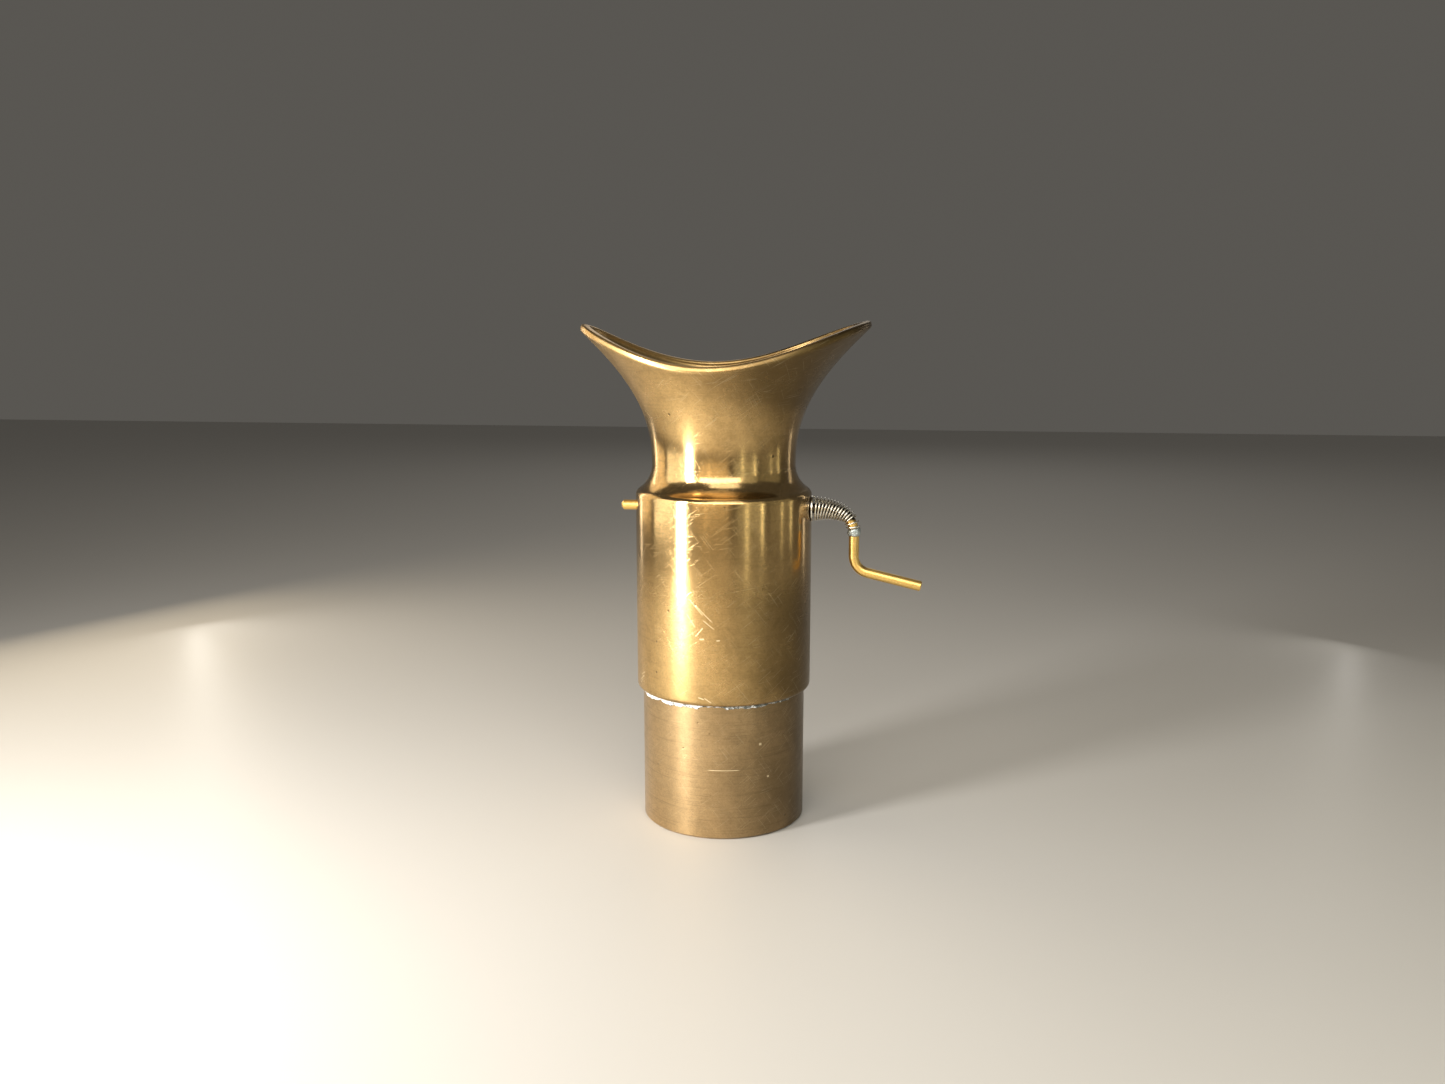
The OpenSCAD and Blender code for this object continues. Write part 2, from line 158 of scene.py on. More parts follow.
class Finish:
    """A new material whose surface is one Principled shader."""

    def __init__(self, name):
        self.material = bpy.data.materials.new(name)
        self.material.use_nodes = True
        self.tree = self.material.node_tree
        self.shader = self.tree.nodes["Principled BSDF"]

    def node(self, kind, settings=None, inputs=None, output=0):
        """Adds a node: its settings first, then the values or links of its sockets."""
        made = self.tree.nodes.new(kind)
        for key, value in (settings or {}).items():
            setattr(made, key, value)
        for key, value in (inputs or {}).items():
            plug(self.tree, made.inputs[key], value)
        return Wire(self.tree, made.outputs[output])

    def place(self):
        """Where a point is on the object, in millimetres."""
        spot = self.node("ShaderNodeTexCoord", output="Object")
        return self.node("ShaderNodeVectorMath", {"operation": "SCALE"}, {0: spot, "Scale": 1 / MM})

    def split(self, vector):
        made = self.tree.nodes.new("ShaderNodeSeparateXYZ")
        plug(self.tree, made.inputs[0], vector)
        return [Wire(self.tree, made.outputs[i]) for i in range(3)]

    def join(self, x, y, z):
        return self.node("ShaderNodeCombineXYZ", None, {0: x, 1: y, 2: z})

    def noise(self, vector, scale, detail=3.0, roughness=0.5, distortion=0.0):
        return self.node("ShaderNodeTexNoise", None, {
            "Vector": vector, "Scale": scale, "Detail": detail,
            "Roughness": roughness, "Distortion": distortion})

    def ramp(self, value, start, end, low_value=0.0, high_value=1.0):
        """Goes smoothly from the low value at start to the high value at end."""
        return self.node("ShaderNodeMapRange", {"interpolation_type": "SMOOTHSTEP"}, {
            "Value": value, "From Min": start, "From Max": end,
            "To Min": low_value, "To Max": high_value})

    def blend(self, share, first, second):
        """Mixes two colours: only the first at share 0, only the second at share 1."""
        made = self.tree.nodes.new("ShaderNodeMix")
        made.data_type = "RGBA"
        plug(self.tree, made.inputs[MIX_SHARE], share)
        for place, colour in ((MIX_FIRST, first), (MIX_SECOND, second)):
            solid = colour if isinstance(colour, Wire) else (*colour, 1.0)
            plug(self.tree, made.inputs[place], solid)
        return Wire(self.tree, made.outputs[MIX_COLOUR])

    def bump(self, height, depth, under=None):
        """Raises the surface by height times depth, in metres, on top of an earlier bump."""
        return self.node("ShaderNodeBump", None, {
            "Strength": 1.0, "Distance": depth, "Height": height, "Normal": under})

    def set(self, **values):
        """Plugs values into the shader's sockets, with _ for a space in a socket's name."""
        for name, value in values.items():
            plug(self.tree, self.shader.inputs[name.replace("_", " ")], value)
        return self.material


print("shader helpers ready")

# %% [markdown]
# ## Light, floor and camera
#
# Polished metal has hardly any colour of its own: it shows what stands around it. So the lights
# come before the finish. One tall bright lamp stands at the front left and draws the bright band
# down the body. Wide dim panels stand round the mill like the walls of a room, so that the metal
# has something to mirror between the bands. Narrow strips draw the thin lines, and panels
# overhead light the shoulder, the rim and the floor. The metal mirrors the lamps, but the camera
# doesn't see them. Where no panel stands the room is dim, and the brass falls into deep brown.

# %% Camera
CAMERA_TURN = math.radians(8.527)
CAMERA_PITCH = math.radians(9.733)
CAMERA_LENS = 30.936
CAMERA_PLACE = Vector((43.416, -291.767, 118.156)) * MM

camera_data = bpy.data.cameras.new("camera")
camera_data.lens = CAMERA_LENS
camera_data.sensor_width = 36.0
camera_data.clip_start = 0.01
camera_data.clip_end = 20.0
camera = bpy.data.objects.new("camera", camera_data)
bpy.context.scene.collection.objects.link(camera)
camera.location = CAMERA_PLACE
camera.rotation_euler = (math.pi / 2 - CAMERA_PITCH, 0, CAMERA_TURN)
bpy.context.scene.camera = camera
print("camera", [round(v, 3) for v in camera.location])

# %% Floor
FLOOR_HALF = 1.2
FLOOR_GREY, FLOOR_ROUGH = (0.56, 0.55, 0.53, 1), 0.5
FLOOR_GAP = 0.02

floor_mesh = bpy.data.meshes.new("floor")
floor_mesh.from_pydata(
    [(-FLOOR_HALF, -FLOOR_HALF, 0), (FLOOR_HALF, -FLOOR_HALF, 0),
     (FLOOR_HALF, FLOOR_HALF, 0), (-FLOOR_HALF, FLOOR_HALF, 0)], [], [(0, 1, 2, 3)])
floor = bpy.data.objects.new("floor", floor_mesh)
bpy.context.scene.collection.objects.link(floor)
floor_finish = Finish("pale_floor")
floor_mesh.materials.append(floor_finish.set(Base_Color=FLOOR_GREY, Roughness=FLOOR_ROUGH))
floor.location.z = low("receptacle_tube").z - FLOOR_GAP * MM
print("floor", FLOOR_HALF * 2, "m wide")

# %% Lights


def lamp(name, azimuth, distance, height, width, tall, brightness, colour):
    """A soft panel that faces the mill at half its height.

    Azimuth 0 is in front of the mill, and brightness is that of the panel's face.
    """
    data = bpy.data.lights.new(name, "AREA")
    data.shape = "RECTANGLE"
    data.size = width
    data.size_y = tall
    data.energy = brightness * math.pi * width * tall
    data.color = colour
    turn = math.radians(azimuth)
    made = bpy.data.objects.new(name, data)
    bpy.context.scene.collection.objects.link(made)
    made.location = (distance * math.sin(turn), -distance * math.cos(turn), height)
    made.rotation_mode = "QUATERNION"
    away = made.location - Vector((0, 0, mill_height / 2))
    made.rotation_quaternion = away.to_track_quat("Z", "Y")
    return made


WHITE = (1.0, 0.96, 0.90)
AMBER = (1.0, 0.82, 0.56)
PALE_YELLOW = (1.0, 0.99, 0.78)
LAMPS = [
    # name, azimuth in degrees, then distance, height, width and tall in metres,
    # then brightness and colour
    ("key", -46, 0.27, 0.112, 0.050, 0.22, 33.0, WHITE),
    ("window", -74, 0.28, 0.122, 0.17, 0.20, 2.2, WHITE),
    ("wall_left", -114, 0.29, 0.142, 0.19, 0.24, 1.5, AMBER),
    ("wall_front", -8, 0.33, 0.142, 0.30, 0.24, 1.2, AMBER),
    ("wall_right", 42, 0.29, 0.142, 0.20, 0.24, 0.50, PALE_YELLOW),
    ("wall_side", 86, 0.29, 0.122, 0.20, 0.20, 0.20, PALE_YELLOW),
    ("band_right", 37, 0.28, 0.102, 0.016, 0.20, 1.8, PALE_YELLOW),
    ("streak_front", -14, 0.32, 0.090, 0.008, 0.12, 2.5, AMBER),
    ("streak_right", 57, 0.28, 0.075, 0.005, 0.10, 7.0, PALE_YELLOW),
    ("streak_middle", 86, 0.28, 0.070, 0.004, 0.09, 4.0, PALE_YELLOW),
    ("streak_side", 102, 0.28, 0.065, 0.006, 0.08, 4.0, PALE_YELLOW),
    ("edge_left", -124, 0.28, 0.095, 0.008, 0.17, 7.0, WHITE),
    ("edge_right", 133, 0.28, 0.095, 0.006, 0.17, 4.5, WHITE),
    ("brow", 2, 0.33, 0.255, 0.42, 0.12, 4.6, WHITE),
    ("top_front", 10, 0.30, 0.40, 0.28, 0.13, 2.2, WHITE),
    ("ceiling", -30, 0.06, 0.60, 0.36, 0.36, 0.6, AMBER),
    ("back", 180, 0.75, 0.50, 0.40, 0.40, 0.8, WHITE),
]
for settings in LAMPS:
    lamp(*settings).visible_camera = False

ROOM_COLOUR, ROOM_STRENGTH = (0.5, 0.47, 0.42, 1), 0.20
world = bpy.data.worlds.new("room")
bpy.context.scene.world = world
world.use_nodes = True
background = world.node_tree.nodes["Background"]
background.inputs["Color"].default_value = ROOM_COLOUR
background.inputs["Strength"].default_value = ROOM_STRENGTH
bpy.context.scene.view_settings.view_transform = "Standard"

# %% [markdown]
# ## Brass finishes
#
# Old polished brass is not one colour. Where hands and cloth reach, it is golden and smooth.
# Where they do not, a thin brown-olive skin grows. Rubbing leaves hair-fine scratches in every
# direction, and the lathe leaves fine rings round the tube. Each of these is a mask, and the
# masks drive colour, roughness and a very shallow bump.
#
# The crank's side is painted darker, a painted shade for the side that the key lamp leaves dim. The
# rod is painted dark under the spring, a painted shade, so that the spring's turns stand out from
# it.

# %% Masks that all the brass shares
BODY_WALL = 1.3
UNROLL = high("stop_ring").x / MM + BODY_WALL

# Noise is stretched by these along a hair line, and in the gaps between lines. The edges are
# the noise values between which a line, or a stretch with lines, comes up.
LINE_STRETCH, LINE_EDGE = 0.10, (0.66, 0.70)
GAP_STRETCH, GAP_EDGE = 0.25, (0.75, 0.85)
# A stroke is solid up to these shares of its length and width, and gone at half of them.
SOLID_LENGTH, SOLID_WIDTH = 0.35, 0.2
# A pit is solid up to the first distance from its middle and gone at the second, in cells.
PIT_EDGE = (0.06, 0.12)


def unroll(finish, place):
    """The surface laid flat: millimetres round the body from the front, and height."""
    x, y, z = finish.split(place)
    return x.math("ARCTAN2", y * -1) * UNROLL, z


def turned(arc, z, degrees):
    """The flat surface measured along and across a direction."""
    c, s = math.cos(math.radians(degrees)), math.sin(math.radians(degrees))
    return arc * c + z * s, z * c - arc * s


def scratches(finish, arc, z, degrees, fineness, amount):
    """Straight hair lines in one direction, broken up so that none runs on for long."""
    along, across = turned(arc, z, degrees)
    lines = finish.noise(finish.join(along * LINE_STRETCH, across * fineness, degrees),
                         scale=1.0, detail=1.0, roughness=0.4)
    gaps = finish.noise(finish.join(along * GAP_STRETCH, across * GAP_STRETCH, degrees),
                        scale=1.0, detail=2.0, roughness=0.5)
    return (finish.ramp(lines, *LINE_EDGE)
            * finish.ramp(gaps, GAP_EDGE[0] - amount, GAP_EDGE[1] - amount))


def stroke(finish, arc, z, at, degrees, length, width):
    """One scratch at a chosen place: (millimetres round from the front, height)."""
    along, across = turned(arc - at[0], z - at[1], degrees)
    return (finish.ramp(along.math("ABSOLUTE"), length * SOLID_LENGTH, length * 0.5, 1.0, 0.0)
            * finish.ramp(across.math("ABSOLUTE"), width * SOLID_WIDTH, width * 0.5, 1.0, 0.0))


def pits(finish, place, size, share):
    """Small round pits, at a share of the cells that hold one."""
    cells = finish.node("ShaderNodeTexVoronoi", {"feature": "F1"},
                        {"Vector": place, "Scale": 1.0 / size})
    colour = Wire(finish.tree, cells.socket.node.outputs["Color"])
    return (finish.ramp(cells, *PIT_EDGE, 1.0, 0.0)
            * finish.ramp(finish.split(colour)[0], 1 - share, 1.01 - share))


# %% How strong each mask is
# Direction in degrees, fineness and amount of each family of hair lines.
HAIR_LINES = [(35, 5.0, 0.32), (-52, 6.0, 0.30), (8, 7.0, 0.26)]
MARK_WEIGHT = 1.6
PIT_SIZE, PIT_SHARE = 3.3, 0.14

# The side painted darker as painted shade: its direction, the reach over which it darkens in
# millimetres, how far the clouds stir that, and how much further it reaches on the flare.
SHADED_SIDE, SHADED_SIDE_EDGE = math.radians(92), (-3.0, 21.0)
CLOUD_STIR, FLARE_REACH, FLARE_FROM = 14.0, 9.0, (97, 107)

# Old skin, and the painted shade on the dark side, are the olive colour made darker by these
# shares.
GRAIN_SKIN, RING_SKIN, SIDE_SHADE_TONE = 0.6, 0.55, 0.28
# PIT_DIRT is dirt in the pits; the other colour is painted shade for the rod under the spring.
PIT_DIRT, SPRING_SHADE_COLOUR = (0.09, 0.06, 0.025), (0.035, 0.028, 0.020)
FRESH_CUT = (0.95, 0.82, 0.55)
MOTTLE_DEPTH, CUT_DEPTH, PIT_DEPTH = 0.015, 0.010, 0.05

# %% A brass finish


def darker(colour, share):
    return tuple(share * part for part in colour)


def brass(name, gold, olive, rough, patina_share, ring_depth, scratch_share,
          ring_share=0.2, polished=None, marks=(), side_shade_share=0.88, spring_shade=None):
    """Brass with patina, lathe rings and scratches.

    polished is four heights: where the buffing starts, is full, begins to fade and has gone.
    The last argument is a range along the axle and one in height, over which painted shade comes
    up.
    """
    f = Finish(name)
    place = f.place()
    arc, z = unroll(f, place)
    x, y, _ = f.split(place)
    clouds = f.noise(place, scale=0.06, detail=5.0, roughness=0.6, distortion=0.6)
    mottle = f.noise(place, scale=0.42, detail=5.0, roughness=0.68, distortion=0.3)
    grain = f.noise(place, scale=2.4, detail=3.0, roughness=0.65)
    rings = f.noise(f.join(x * 0.05, y * 0.05, z * 2.3), scale=1.0, detail=4.0, roughness=0.8)
    patina = (f.ramp(clouds, 0.36, 0.66) * 0.55 + f.ramp(mottle, 0.40, 0.70) * 0.45) * patina_share
    hair = scratches(f, arc, z, *HAIR_LINES[0])
    for family in HAIR_LINES[1:]:
        hair = hair + scratches(f, arc, z, *family)
    hair = hair.clamp()
    spots = pits(f, place, PIT_SIZE, PIT_SHARE)
    buffed = 0.0
    if polished:
        start, full, fade, gone = polished
        buffed = f.ramp(z, start, full) * f.ramp(z, fade, gone, 1.0, 0.0)
    dull = 1 - buffed * 0.46
    cut = hair * scratch_share
    for at, degrees, length, width in marks:
        cut = cut.most(stroke(f, arc, z, at, degrees, length, width) * MARK_WEIGHT)

    colour = f.blend(patina, gold, olive)
    colour = f.blend(f.ramp(grain, 0.40, 0.72, 0.0, 0.30), colour, darker(olive, GRAIN_SKIN))
    colour = f.blend(f.ramp(rings, 0.50, 0.68, 0.0, ring_share), colour, darker(olive, RING_SKIN))
    # Painted shade: one side is darkened towards the olive, for the shade on the side away from the
    # key lamp; the clouds stir its edge and it reaches further up the flare.
    side = x * math.sin(SHADED_SIDE) - y * math.cos(SHADED_SIDE)
    reach = side + (clouds - 0.5) * CLOUD_STIR + f.ramp(z, *FLARE_FROM) * FLARE_REACH
    side_shade = f.ramp(reach, *SHADED_SIDE_EDGE)
    colour = f.blend(side_shade * (1 - buffed * 0.85) * side_shade_share, colour,
                     darker(olive, SIDE_SHADE_TONE))
    colour = f.blend(spots * 0.75, colour, PIT_DIRT)
    # Painted shade: the rod under the spring is darkened almost to black, for the shade inside the
    # coil.
    if spring_shade:
        along_axle, in_height = spring_shade
        colour = f.blend(f.ramp(x, *along_axle) * f.ramp(z, *in_height), colour, SPRING_SHADE_COLOUR)
    colour = f.blend((cut * 0.45).clamp(), colour, FRESH_CUT)

    worn = patina * 0.13 + rings * 0.10 + grain * 0.06 + (rough - 0.10)
    roughness = (worn * dull + cut * 0.10).clamp()
    normal = f.bump(rings * dull, ring_depth)
    normal = f.bump(mottle * dull, MOTTLE_DEPTH * MM, normal)
    normal = f.bump(cut * -1.0, CUT_DEPTH * MM, normal)
    normal = f.bump(spots * -1.0, PIT_DEPTH * MM, normal)
    return f.set(Base_Color=colour, Metallic=1.0, Roughness=roughness, Normal=normal)


# %% The brass of each piece
# Each mark is its place (millimetres round from the front, height), direction in degrees,
# length and width.
BODY_MARKS = [
    ((-21.6, 36.2), 32, 3.4, 0.34),
    ((-21.0, 37.4), 28, 3.0, 0.26),
    ((-22.2, 35.2), 40, 2.2, 0.24),
    ((-2.2, 34.6), -18, 1.6, 0.30),
    ((-0.6, 34.2), -34, 2.2, 0.26),
    ((-3.4, 56.0), -48, 5.5, 0.20),
    ((-1.6, 54.6), -44, 6.5, 0.18),
    ((-4.6, 52.8), -56, 4.0, 0.18),
    ((-0.4, 52.0), -38, 3.6, 0.20),
    ((-2.6, 50.2), 50, 3.0, 0.18),
    ((-5.8, 58.4), 38, 3.6, 0.18),
    ((-2.0, 48.6), 4, 1.2, 0.5),
    ((1.8, 48.4), 4, 0.9, 0.4),
]
TUBE_MARKS = [((3.0, 17.0), 0, 9.0, 0.22), ((12.5, 22.8), 0, 0.8, 0.8), ((14.8, 14.6), 0, 0.7, 0.6)]

polished_brass = brass(
    "polished_brass", gold=(0.67, 0.445, 0.19), olive=(0.42, 0.28, 0.115), rough=0.28,
    patina_share=0.9, ring_depth=0.006 * MM, scratch_share=0.42,
    polished=(50, 70, 93, 103), marks=BODY_MARKS)
satin_brass = brass(
    "satin_brass", gold=(0.57, 0.395, 0.205), olive=(0.38, 0.265, 0.135), rough=0.30,
    patina_share=0.8, ring_depth=0.016 * MM, scratch_share=0.35, ring_share=0.42,
    marks=TUBE_MARKS)

# Where the rod gets painted shade under the spring, along the axle and in height, in millimetres.
UNDER_SPRING = ((wall_x / MM - 0.6, wall_x / MM + 0.2), (axle_z / MM - 3.0, axle_z / MM - 2.2))
rod_brass = brass(
    "rod_brass", gold=(0.93, 0.62, 0.20), olive=(0.70, 0.45, 0.13), rough=0.34,
    patina_share=0.3, ring_depth=0.002 * MM, scratch_share=0.4, side_shade_share=0.0,
    spring_shade=UNDER_SPRING)
inner_brass = brass(
    "inner_brass", gold=(0.50, 0.38, 0.18), olive=(0.30, 0.23, 0.10), rough=0.42,
    patina_share=0.6, ring_depth=0.010 * MM, scratch_share=0.4)
print("brass finishes:",
      [m.name for m in (polished_brass, satin_brass, rod_brass, inner_brass)])

# %% Steel finishes


def steel(name, light, dark, rough):
    """Bare steel with a grey-brown bloom in places."""
    f = Finish(name)
    place = f.place()
    clouds = f.noise(place, scale=0.8, detail=4.0, roughness=0.6, distortion=0.4)
    bloom = f.ramp(clouds, 0.45, 0.75)
    grain = f.noise(place, scale=6.0, detail=2.0, roughness=0.5)
    colour = f.blend(bloom, light, dark)
    roughness = (bloom * 0.2 + grain * 0.08 + rough).clamp()
    return f.set(Base_Color=colour, Metallic=1.0, Roughness=roughness,
                 Normal=f.bump(grain, 0.004 * MM))


spring_steel = steel("spring_steel", light=(0.80, 0.78, 0.71), dark=(0.42, 0.37, 0.28), rough=0.12)
burr_steel = steel("burr_steel", light=(0.34, 0.34, 0.35), dark=(0.20, 0.17, 0.14), rough=0.4)
screw_steel = steel("screw_steel", light=(0.52, 0.51, 0.50), dark=(0.34, 0.31, 0.27), rough=0.32)
print("steel finishes ready")

# %% Pale finishes: dried polish and solder


def crumbs(name, pale, dark, metal, rough):
    """A pale crust or a dull drop of metal, mottled and pitted."""
    f = Finish(name)
    place = f.place()
    blots = f.noise(place, scale=1.1, detail=5.0, roughness=0.7, distortion=0.5)
    fine = f.noise(place, scale=5.0, detail=4.0, roughness=0.7)
    # Adding x tips the mix with the side: paler to the left and darker to the right, a painted
    # light from the left.
    colour = f.blend(f.ramp(blots + f.split(place)[0] * 0.005, 0.46, 0.58), pale, dark)
    return f.set(Base_Color=colour, Metallic=metal, Roughness=(fine * 0.2 + rough).clamp(),
                 Normal=f.bump(fine, 0.12 * MM))


dried_polish = crumbs(
    "dried_polish", pale=(0.80, 0.83, 0.84), dark=(0.10, 0.11, 0.10), metal=0.0, rough=0.6)
solder = crumbs(
    "solder", pale=(0.68, 0.80, 0.86), dark=(0.45, 0.50, 0.50), metal=1.0, rough=0.28)
print("pale finishes ready")

# %% [markdown]
# ## Dressing the engineering parts
#
# The engineering parts keep their own shapes. Each one has a material slot, named in the model's
# record, so a short table turns slot names into finishes.

# %% Put a finish on every part
FINISHES = {
    "polished_brass": polished_brass,
    "satin_brass": satin_brass,
    "rod_brass": rod_brass,
    "inner_brass": inner_brass,
    "spring_steel": spring_steel,
    "burr_steel": burr_steel,
    "screw_steel": screw_steel,
}
for part in frame["record"]["subparts"]:
    for material_slot in nodes[part["node"]].material_slots:
        material_slot.material = FINISHES[part["material_slot"]]

# %% [markdown]
# ## The body in one smooth sheet
#
# The real body is one piece of spun brass: a straight sleeve, a rounded shoulder, a hollow neck,
# a flare, and a mouth that dips at the front and rises into two wings. A polished surface shows
# every flat facet, so the engineering shell and its rim are replaced by one finer mesh that
# follows the same curves. We could cut a lathe shape with a saddle surface, but a boolean leaves
# ragged triangles along the cut, and polish would show them. Instead every column of the mesh is
# made to end exactly on the saddle curve, and the rim is rolled over from there.
#
# All lengths in this step are millimetres, and the mesh is scaled once at the end.

# %% The curves of the body
SLEEVE = -low("left_bush").x / MM
SLEEVE_BORE = high("stop_ring").x / MM
WALL = SLEEVE - SLEEVE_BORE
LIP_Z = low("shell").z / MM
LIP, SHOULDER, SWEEP = 1.0, 1.8, 7.0
AXLE_DROP = 3.07
NECK_R = 17.07

# The flare widens with the second, third and fourth power of the height above the neck, and
# the saddle rises in the same way with the distance from its low point.
FLARE, FLARE_UNIT = (0.886, 0.531, -0.088), 10
MOUTH_LOW = 22.15
SADDLE_RISE, SADDLE_REACH, SADDLE_SHIFT = (12.26, -1.27, -2.23), 34.0, 3.37
MOUTH_TURN = math.radians(6.7)
RIM_H, RIM_T, RIM_LEAN, TIP_SWELL = 1.5, 1.6, math.radians(12), 0.4

corner = np.array([SLEEVE - SHOULDER, axle_z / MM + AXLE_DROP])
NECK_Z = corner[1] + math.sqrt((SWEEP + SHOULDER) ** 2 - (NECK_R + SWEEP - corner[0]) ** 2)
sweep = np.array([NECK_R + SWEEP, NECK_Z])
SWEEP_START = math.atan2(corner[1] - sweep[1], corner[0] - sweep[0])


def flare_radius(z):
    u = np.maximum(0, (z - NECK_Z) / FLARE_UNIT)
    return NECK_R + FLARE[0] * u**2 + FLARE[1] * u**3 + FLARE[2] * u**4


def saddle_height(x):
    u = (x + SADDLE_SHIFT) / SADDLE_REACH
    return (NECK_Z + MOUTH_LOW
            + SADDLE_RISE[0] * u**2 + SADDLE_RISE[1] * u**3 + SADDLE_RISE[2] * u**4)


def arc(centre, radius, start, end, steps):
    """Points on an arc from start to end, angles in radians, without the first one."""
    turn = np.linspace(start, end, steps + 1)[1:]
    return centre + radius * np.stack([np.cos(turn), np.sin(turn)], 1)


print(f"neck ring at {NECK_Z:.1f} mm, radius {NECK_R} mm, wall {WALL:.2f} mm")

# %% Where each column meets the saddle
COLUMNS = 264
HALVINGS = 40
turns = (np.arange(COLUMNS) + 0.5) * 2 * math.pi / COLUMNS
over_wings = np.cos(turns - MOUTH_TURN)
outward = np.stack([np.cos(turns), np.sin(turns), 0 * turns], 1)
UP = np.array([0.0, 0.0, 1.0])


def edge_height(drop):
    """Height at which each column of the flare comes within drop of the saddle, by bisection."""
    lowest, highest = np.full(COLUMNS, NECK_Z), np.full(COLUMNS, mill_height / MM)
    for _ in range(HALVINGS):
        middle = (lowest + highest) / 2
        below = middle < saddle_height(flare_radius(middle) * over_wings) - drop
        lowest, highest = np.where(below, middle, lowest), np.where(below, highest, middle)
    return lowest


def on_flare(z, inset=0.0):
    return outward * (flare_radius(z) - inset)[:, None] + UP * z[:, None]


def ring(radius, z):
    return outward * radius + UP * z


def bend(a, b, c, steps):
    """Rows of points on a smooth bend from a to c that is pulled towards b."""
    shares = np.linspace(0, 1, steps + 1)[1:]
    return [a * (1 - t) ** 2 + b * 2 * t * (1 - t) + c * t * t for t in shares]


edge = on_flare(edge_height(0.0))
along = np.roll(edge, -1, 0) - np.roll(edge, 1, 0)
along /= np.linalg.norm(along, axis=1)[:, None]
lean = outward * math.cos(RIM_LEAN) + UP * math.sin(RIM_LEAN)
face = lean - along * (lean * along).sum(1)[:, None]
face /= np.linalg.norm(face, axis=1)[:, None]
rise = np.cross(face, along)
deep = (RIM_T * (1 + TIP_SWELL * over_wings**4))[:, None]
print(f"mouth edge from {edge[:, 2].min():.1f} to {edge[:, 2].max():.1f} mm high")

# %% Build the body
# ROUND softens the meeting of flare and rim, ROLL rounds the rim's top, PROUD lifts the skin
# over the ends of the bushes, and BREAK takes the sharpness off the lip's inner corner.
ROUND, ROLL, PROUD, BREAK = 0.40, 0.75, 0.02, 0.1

rows = [ring(SLEEVE_BORE, LIP_Z + BREAK), ring(SLEEVE_BORE + BREAK, LIP_Z),
        ring(SLEEVE - LIP - BREAK, LIP_Z)]
lip_centre = np.array([SLEEVE - LIP, LIP_Z + LIP])
outline = [*arc(lip_centre, LIP + PROUD, -math.pi / 2, 0, 10)]
outline += [np.array([SLEEVE + PROUD, z])
            for z in np.linspace(LIP_Z + LIP + 0.5, corner[1] - 0.3, 24)]
outline += [*arc(corner, SHOULDER + PROUD, 0, SWEEP_START + math.pi, 16)]
outline += [*arc(sweep, SWEEP - PROUD, SWEEP_START + 2 * math.pi, math.pi, 26)]
rows += [ring(r, z) for r, z in outline]
skin_top = edge_height(ROUND)
rows += [on_flare(NECK_Z + (skin_top - NECK_Z) * t, -PROUD)
         for t in np.linspace(0, 1, 49)[1:]]

face_low, face_high = edge + rise * ROUND, edge + rise * (RIM_H - ROLL)
rows += bend(rows[-1], edge, face_low, 6)
rows += [face_low + (face_high - face_low) * t for t in (0.25, 0.5, 0.75, 1.0)]
top_outer, top_inner = edge + rise * RIM_H, edge + rise * RIM_H - face * deep
rows += bend(face_high, top_outer, top_outer - face * ROLL, 8)
rows += bend(top_inner + face * ROLL, top_inner, top_inner - rise * ROLL, 8)
inner_top = on_flare(edge[:, 2] - 1.5, WALL)
rows += bend(rows[-1], edge - face * deep + rise * 0.2, inner_top, 6)
for t in np.linspace(1, 0, 31)[1:]:
    rows.append(on_flare(NECK_Z + (inner_top[:, 2] - NECK_Z) * t, WALL))
inside = [*arc(sweep, SWEEP + WALL, math.pi, SWEEP_START + 2 * math.pi, 14)]
inside += [*arc(corner, SHOULDER - WALL, SWEEP_START + math.pi, 0, 6)]
inside += [np.array([SLEEVE_BORE, z]) for z in np.linspace(corner[1] - 1, LIP_Z + 2, 8)]
rows += [ring(r, z) for r, z in inside]


def mesh_piece(name, points, faces, body, finish):
    """Makes a piece from points in metres, rides it on a body and gives it a finish."""
    mesh = bpy.data.meshes.new(name)
    mesh.from_pydata([tuple(p) for p in points], [], faces)
    mesh.validate()
    mesh.polygons.foreach_set("use_smooth", [True] * len(mesh.polygons))
    mesh.materials.append(finish)
    piece = bpy.data.objects.new(name, mesh)
    bpy.context.scene.collection.objects.link(piece)
    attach(piece, body)
    return piece


def net(row_count, column_count, close_rows, close_columns):
    """Quads over a grid of points, stored row after row."""
    last_row = row_count if close_rows else row_count - 1
    last_column = column_count if close_columns else column_count - 1
    quads = []
    for i in range(last_row):
        here, above = i * column_count, (i + 1) % row_count * column_count
        for j in range(last_column):
            beside = (j + 1) % column_count
            quads.append((here + j, here + beside, above + beside, above + j))
    return quads


def caps(section_count, around_count):
    """One face for each end of a tube that net() left open."""
    last = (section_count - 1) * around_count
    return [tuple(range(around_count))[::-1], tuple(range(last, last + around_count))]


body = mesh_piece("mill_body", np.concatenate(rows) * MM, net(len(rows), COLUMNS, True, True),
                  "mill", polished_brass)
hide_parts("shell", "mouth_rim")
print("mill_body:", len(rows), "rows of", COLUMNS, "points")

# %% [markdown]
# ## The spring
#
# A cone of steel wire pushes the crank outwards. Its wide end rests on a washer against the
# wall, its turns get smaller as the line droops with the rod, and two last turns grip the bend.
# A curve with a bevel would be quicker, but a mesh is needed so that the spring can shorten
# when the crank is pushed in. So the wire is swept: a circle of points is carried along
# the coil. The open turns lean a little, which helps the eye to tell them apart.

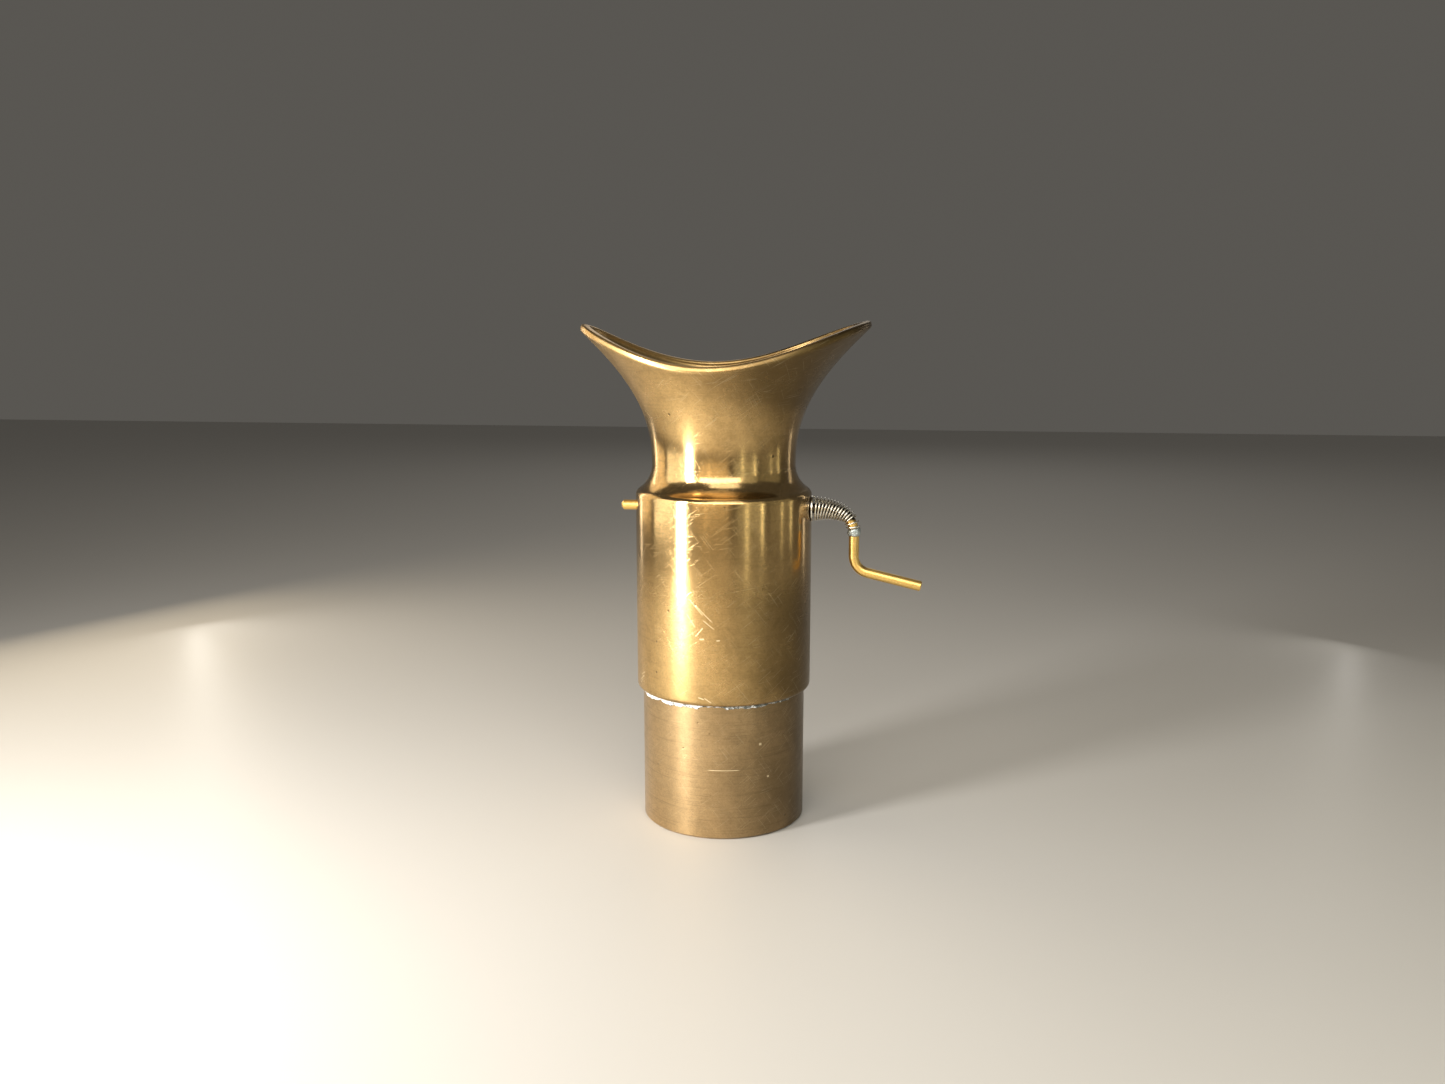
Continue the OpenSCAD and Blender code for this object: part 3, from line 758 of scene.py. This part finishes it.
# %% Sweep the spring wire
WIRE = 0.44
TURNS, TAIL_TURNS = 13, 2
CONE_LENGTH, DROOP = 9.15, math.radians(45)
GAP, GRIP_GAP, TAIL_EASE = 0.02, 0.07, 0.03
WIDE, SMALL = 2.78, rod_radius / MM - GAP + GRIP_GAP + WIRE / 2
TAPER = 1.4
BEND, ARM_OUT = 5.8, 10.2
TAIL_FROM, TAIL_TO = math.radians(56), math.radians(76)
LEAN, FULL_LEAN_AT = math.radians(14), 0.3
PER_TURN, AROUND_WIRE = 36, 12

start_x = high("spring_washer").x / MM + WIRE / 2 + GAP
bend_centre = (SLEEVE + ARM_OUT - BEND, axle_z / MM - BEND)

share = np.linspace(0, 1, TURNS * PER_TURN + 1)
slope = DROOP * share**2
step = CONE_LENGTH / (len(share) - 1)
line_x = start_x + np.concatenate([[0], np.cumsum(np.cos(slope[:-1]))]) * step
line_z = axle_z / MM - np.concatenate([[0], np.cumsum(np.sin(slope[:-1]))]) * step
radius = SMALL + (WIDE - SMALL) * (1 - share**TAPER)

tail = np.linspace(0, 1, TAIL_TURNS * PER_TURN + 1)[1:]
tail_slope = TAIL_FROM + (TAIL_TO - TAIL_FROM) * tail
line_x = np.concatenate([line_x, bend_centre[0] + BEND * np.sin(tail_slope)])
line_z = np.concatenate([line_z, bend_centre[1] + BEND * np.cos(tail_slope)])
slope = np.concatenate([slope, tail_slope])
radius = np.concatenate([radius, np.full(len(tail), SMALL + TAIL_EASE)])

turn = 2 * math.pi * np.arange(len(radius)) / PER_TURN
centre = np.stack([line_x, 0 * line_x, line_z], 1)
lean_share = np.concatenate([np.minimum(share / FULL_LEAN_AT, 1) * (1 - share**2),
                             np.zeros(len(tail))])
tilt = slope + LEAN * lean_share
away = np.stack([np.sin(tilt) * np.cos(turn), np.sin(turn), np.cos(tilt) * np.cos(turn)], 1)
wire = centre + away * radius[:, None]
heading = np.gradient(wire, axis=0)
heading /= np.linalg.norm(heading, axis=1)[:, None]
first = away - heading * (away * heading).sum(1)[:, None]
first /= np.linalg.norm(first, axis=1)[:, None]
second = np.cross(first, heading)
circle = 2 * math.pi * np.arange(AROUND_WIRE) / AROUND_WIRE
tube = [p + WIRE / 2 * (np.outer(np.cos(circle), a) + np.outer(np.sin(circle), b))
        for p, a, b in zip(wire, first, second)]
spring = mesh_piece("spring_coil", np.concatenate(tube) * MM,
                    net(len(tube), AROUND_WIRE, False, True) + caps(len(tube), AROUND_WIRE),
                    "spring", spring_steel)
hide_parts("crank_spring")
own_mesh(spring)
print("spring_coil:", TURNS + TAIL_TURNS, "turns of", WIRE, "mm wire")

# %% [markdown]
# ## Grime and solder
#
# Two small things tell that this mill has been used and polished for years. Dried polish has
# gathered in the step under the body, a pale crumbly line with dark gaps. And a drop of solder
# holds the spring's last turn to the rod. Both are lumpy rings, so one function makes them: a
# ring of sections whose size is stirred by a few sine waves, which repeats the same on each run.

# %% A lumpy ring


def lumps(turn, seed):
    """An uneven value near 1 that joins up with itself after one turn."""
    waves = [(5, 0.30), (9, 0.22), (17, 0.20), (31, 0.16), (53, 0.12), (89, 0.10)]
    return 1 + sum(size * np.sin(count * turn + seed * (i + 1) * 2.3)
                   for i, (count, size) in enumerate(waves))


ROUND_RING, SECTION = 420, 8
LINE_THICK, LINE_TALL = 0.10, 0.25
FULL_SIDE, FULL_GAIN = math.radians(222), 0.6
STAND_OFF, HANG_GAP = 0.02, 0.04

ring_turn = 2 * math.pi * np.arange(ROUND_RING) / ROUND_RING
around = 2 * math.pi * np.arange(SECTION) / SECTION
tube_mm = tube_radius / MM
full_side = 1 + FULL_GAIN * np.cos(ring_turn - FULL_SIDE)
thick = LINE_THICK * full_side * np.clip(lumps(ring_turn, 1.0), 0.15, 1.9)
tall = LINE_TALL * full_side * np.clip(lumps(ring_turn, 2.7), 0.25, 1.7)
hang = LIP_Z - HANG_GAP - tall
points = []
for t, w, h, z in zip(ring_turn, thick, tall, hang):
    r = tube_mm + STAND_OFF + w * (1 + np.cos(around))
    points.append(np.stack([r * math.cos(t), r * math.sin(t), z + h * np.sin(around)], 1))
mesh_piece("dried_polish", np.concatenate(points) * MM, net(ROUND_RING, SECTION, True, True),
           "receptacle", dried_polish)
print("dried_polish:", ROUND_RING, "sections")

# %% A drop of solder on the rod's bend
DROP_SECTIONS, DROP_AROUND = 15, 28
DROP_FROM, DROP_TO = math.radians(77), math.radians(96)
DROP_FAT, DROP_UNEVEN = 0.38, 0.05

drop_slope = np.linspace(DROP_FROM, DROP_TO, DROP_SECTIONS)
drop_round = 2 * math.pi * np.arange(DROP_AROUND) / DROP_AROUND
points = []
for i, a in enumerate(drop_slope):
    fat = rod_radius / MM + DROP_FAT * math.sin(math.pi * i / (DROP_SECTIONS - 1)) ** 0.5
    x = bend_centre[0] + BEND * math.sin(min(a, math.pi / 2))
    z = bend_centre[1] + BEND * (math.cos(a) if a < math.pi / 2 else math.pi / 2 - a)
    uneven = fat * (1 + DROP_UNEVEN * np.sin(3 * drop_round + i * 0.4))
    on_bend = a < math.pi / 2
    side = np.array([math.sin(a), 0, math.cos(a)] if on_bend else [1.0, 0, 0])
    points.append(np.array([x, 0, z]) + np.outer(uneven * np.cos(drop_round), side)
                  + np.outer(uneven * np.sin(drop_round), [0, 1, 0]))
mesh_piece("solder_drop", np.concatenate(points) * MM,
           net(len(points), DROP_AROUND, False, True) + caps(len(points), DROP_AROUND),
           "crank", solder)
print("solder_drop ready")
